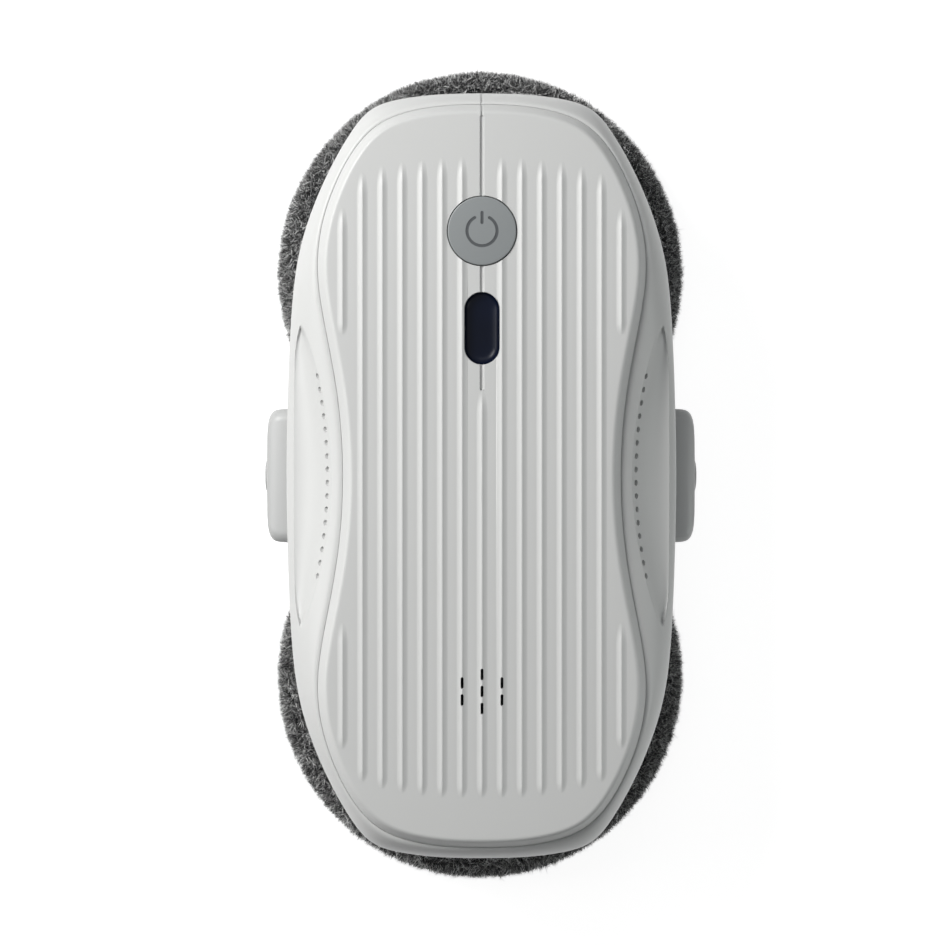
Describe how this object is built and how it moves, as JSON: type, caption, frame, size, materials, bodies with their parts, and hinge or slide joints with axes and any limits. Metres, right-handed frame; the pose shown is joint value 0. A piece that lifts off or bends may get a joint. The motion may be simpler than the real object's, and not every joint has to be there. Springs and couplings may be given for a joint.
{
  "type": "window cleaning robot",
  "caption": "Waisted window cleaning robot on two turning round pads, with a ribbed cover, power button, dark receiver window, side scoops with vent holes and sprung side bumpers.",
  "frame": {"origin": "on the glass plane under the middle of the body", "axes": "+Z away from the glass, +Y along the body towards the power button, +X to the right seen from above"},
  "size_m": [0.155, 0.2934, 0.0851],
  "materials": {
    "white_plastic": "warm light grey ABS, fine satin moulded finish",
    "grey_plastic": "mid grey ABS, satin",
    "light_grey_plastic": "light grey ABS, satin",
    "inner_plastic": "dark grey moulded plastic",
    "pale_plastic": "ivory acetal",
    "black_plastic": "black moulded plastic",
    "window_plastic": "near-black infrared window, polished",
    "circuit_board": "green glass fibre board",
    "pile_fabric": "mottled light and dark grey microfibre pile",
    "loop_fabric": "grey loop fabric",
    "rubber": "black soft rubber",
    "steel": "turned and drawn steel",
    "motor_case": "plated motor case",
    "cell_wrap": "blue shrink-wrapped battery cells"
  },
  "bodies": {
    "housing": {"top_cover": "white_plastic", "upper_shell": "white_plastic", "lower_housing": "white_plastic", "switch_body": "black_plastic", "button_cup": "inner_plastic", "button_spring": "steel", "window_lens": "window_plastic", "ir_receiver": "black_plastic", "speaker": "inner_plastic", "main_board": "circuit_board", "board_parts": "black_plastic", "right_bumper_springs": "steel", "left_bumper_springs": "steel", "right_bumper_sensor": "circuit_board", "left_bumper_sensor": "circuit_board", "front_axle": "steel", "front_seal": "rubber", "front_gear_motor": "motor_case", "rear_axle": "steel", "rear_seal": "rubber", "rear_gear_motor": "motor_case", "axle_washers": "steel", "axle_screws": "steel", "vacuum_duct": "inner_plastic", "fan_gasket": "rubber", "fan_housing": "inner_plastic", "fan_motor": "motor_case", "battery_tray": "inner_plastic", "battery_cradle": "inner_plastic", "battery_cells": "cell_wrap", "power_inlet": "inner_plastic", "rope_pin": "steel", "housing_screws": "steel", "inner_screws": "steel"},
    "power_button": {"power_button": "grey_plastic", "switch_plunger": "pale_plastic"},
    "right_bumper": {"right_bumper": "light_grey_plastic", "right_bumper_cap": "light_grey_plastic"},
    "left_bumper": {"left_bumper": "light_grey_plastic", "left_bumper_cap": "light_grey_plastic"},
    "fan": {"fan_impeller": "pale_plastic", "fan_shaft": "steel"},
    "front_wheel": {"front_wheel": "black_plastic", "front_wheel_hub": "black_plastic", "front_ring_gear": "pale_plastic", "front_hook_ring": "black_plastic", "front_pad_backing": "loop_fabric", "front_pad": "pile_fabric", "front_bearings": "steel"},
    "front_drive": {"front_pinion": "pale_plastic", "front_pinion_shaft": "steel"},
    "rear_wheel": {"rear_wheel": "black_plastic", "rear_wheel_hub": "black_plastic", "rear_ring_gear": "pale_plastic", "rear_hook_ring": "black_plastic", "rear_pad_backing": "loop_fabric", "rear_pad": "pile_fabric", "rear_bearings": "steel"},
    "rear_drive": {"rear_pinion": "pale_plastic", "rear_pinion_shaft": "steel"}
  },
  "joints": [
    {"name": "front_wheel_spin", "type": "hinge", "parent": "housing", "child": "front_wheel", "pos_m": [0, 0.0737, 0], "axis": [0, 0, 1], "continuous": true},
    {"name": "front_pinion_spin", "type": "hinge", "parent": "housing", "child": "front_drive", "pos_m": [0.03394, 0.03976, 0.02], "axis": [0, 0, 1], "continuous": true},
    {"name": "rear_wheel_spin", "type": "hinge", "parent": "housing", "child": "rear_wheel", "pos_m": [0, -0.0737, 0], "axis": [0, 0, 1], "continuous": true},
    {"name": "rear_pinion_spin", "type": "hinge", "parent": "housing", "child": "rear_drive", "pos_m": [-0.03394, -0.03976, 0.02], "axis": [0, 0, 1], "continuous": true},
    {"name": "fan_spin", "type": "hinge", "parent": "housing", "child": "fan", "pos_m": [0, 0, 0.045], "axis": [0, 0, 1], "continuous": true},
    {"name": "power_button_press", "type": "slide", "parent": "housing", "child": "power_button", "axis": [0, 0, -1], "range_m": [0, 0.0008], "stiffness_N_per_m": 1500, "deforming": ["button_spring"]},
    {"name": "right_bumper_press", "type": "slide", "parent": "housing", "child": "right_bumper", "axis": [-1, 0, 0], "range_m": [0, 0.004], "stiffness_N_per_m": 500, "deforming": ["right_bumper_springs"]},
    {"name": "left_bumper_press", "type": "slide", "parent": "housing", "child": "left_bumper", "axis": [1, 0, 0], "range_m": [0, 0.004], "stiffness_N_per_m": 500, "deforming": ["left_bumper_springs"]}
  ],
  "couplings": [
    {"joint": "front_pinion_spin", "follows": "front_wheel_spin", "ratio": -5},
    {"joint": "rear_pinion_spin", "follows": "rear_wheel_spin", "ratio": -5}
  ]
}
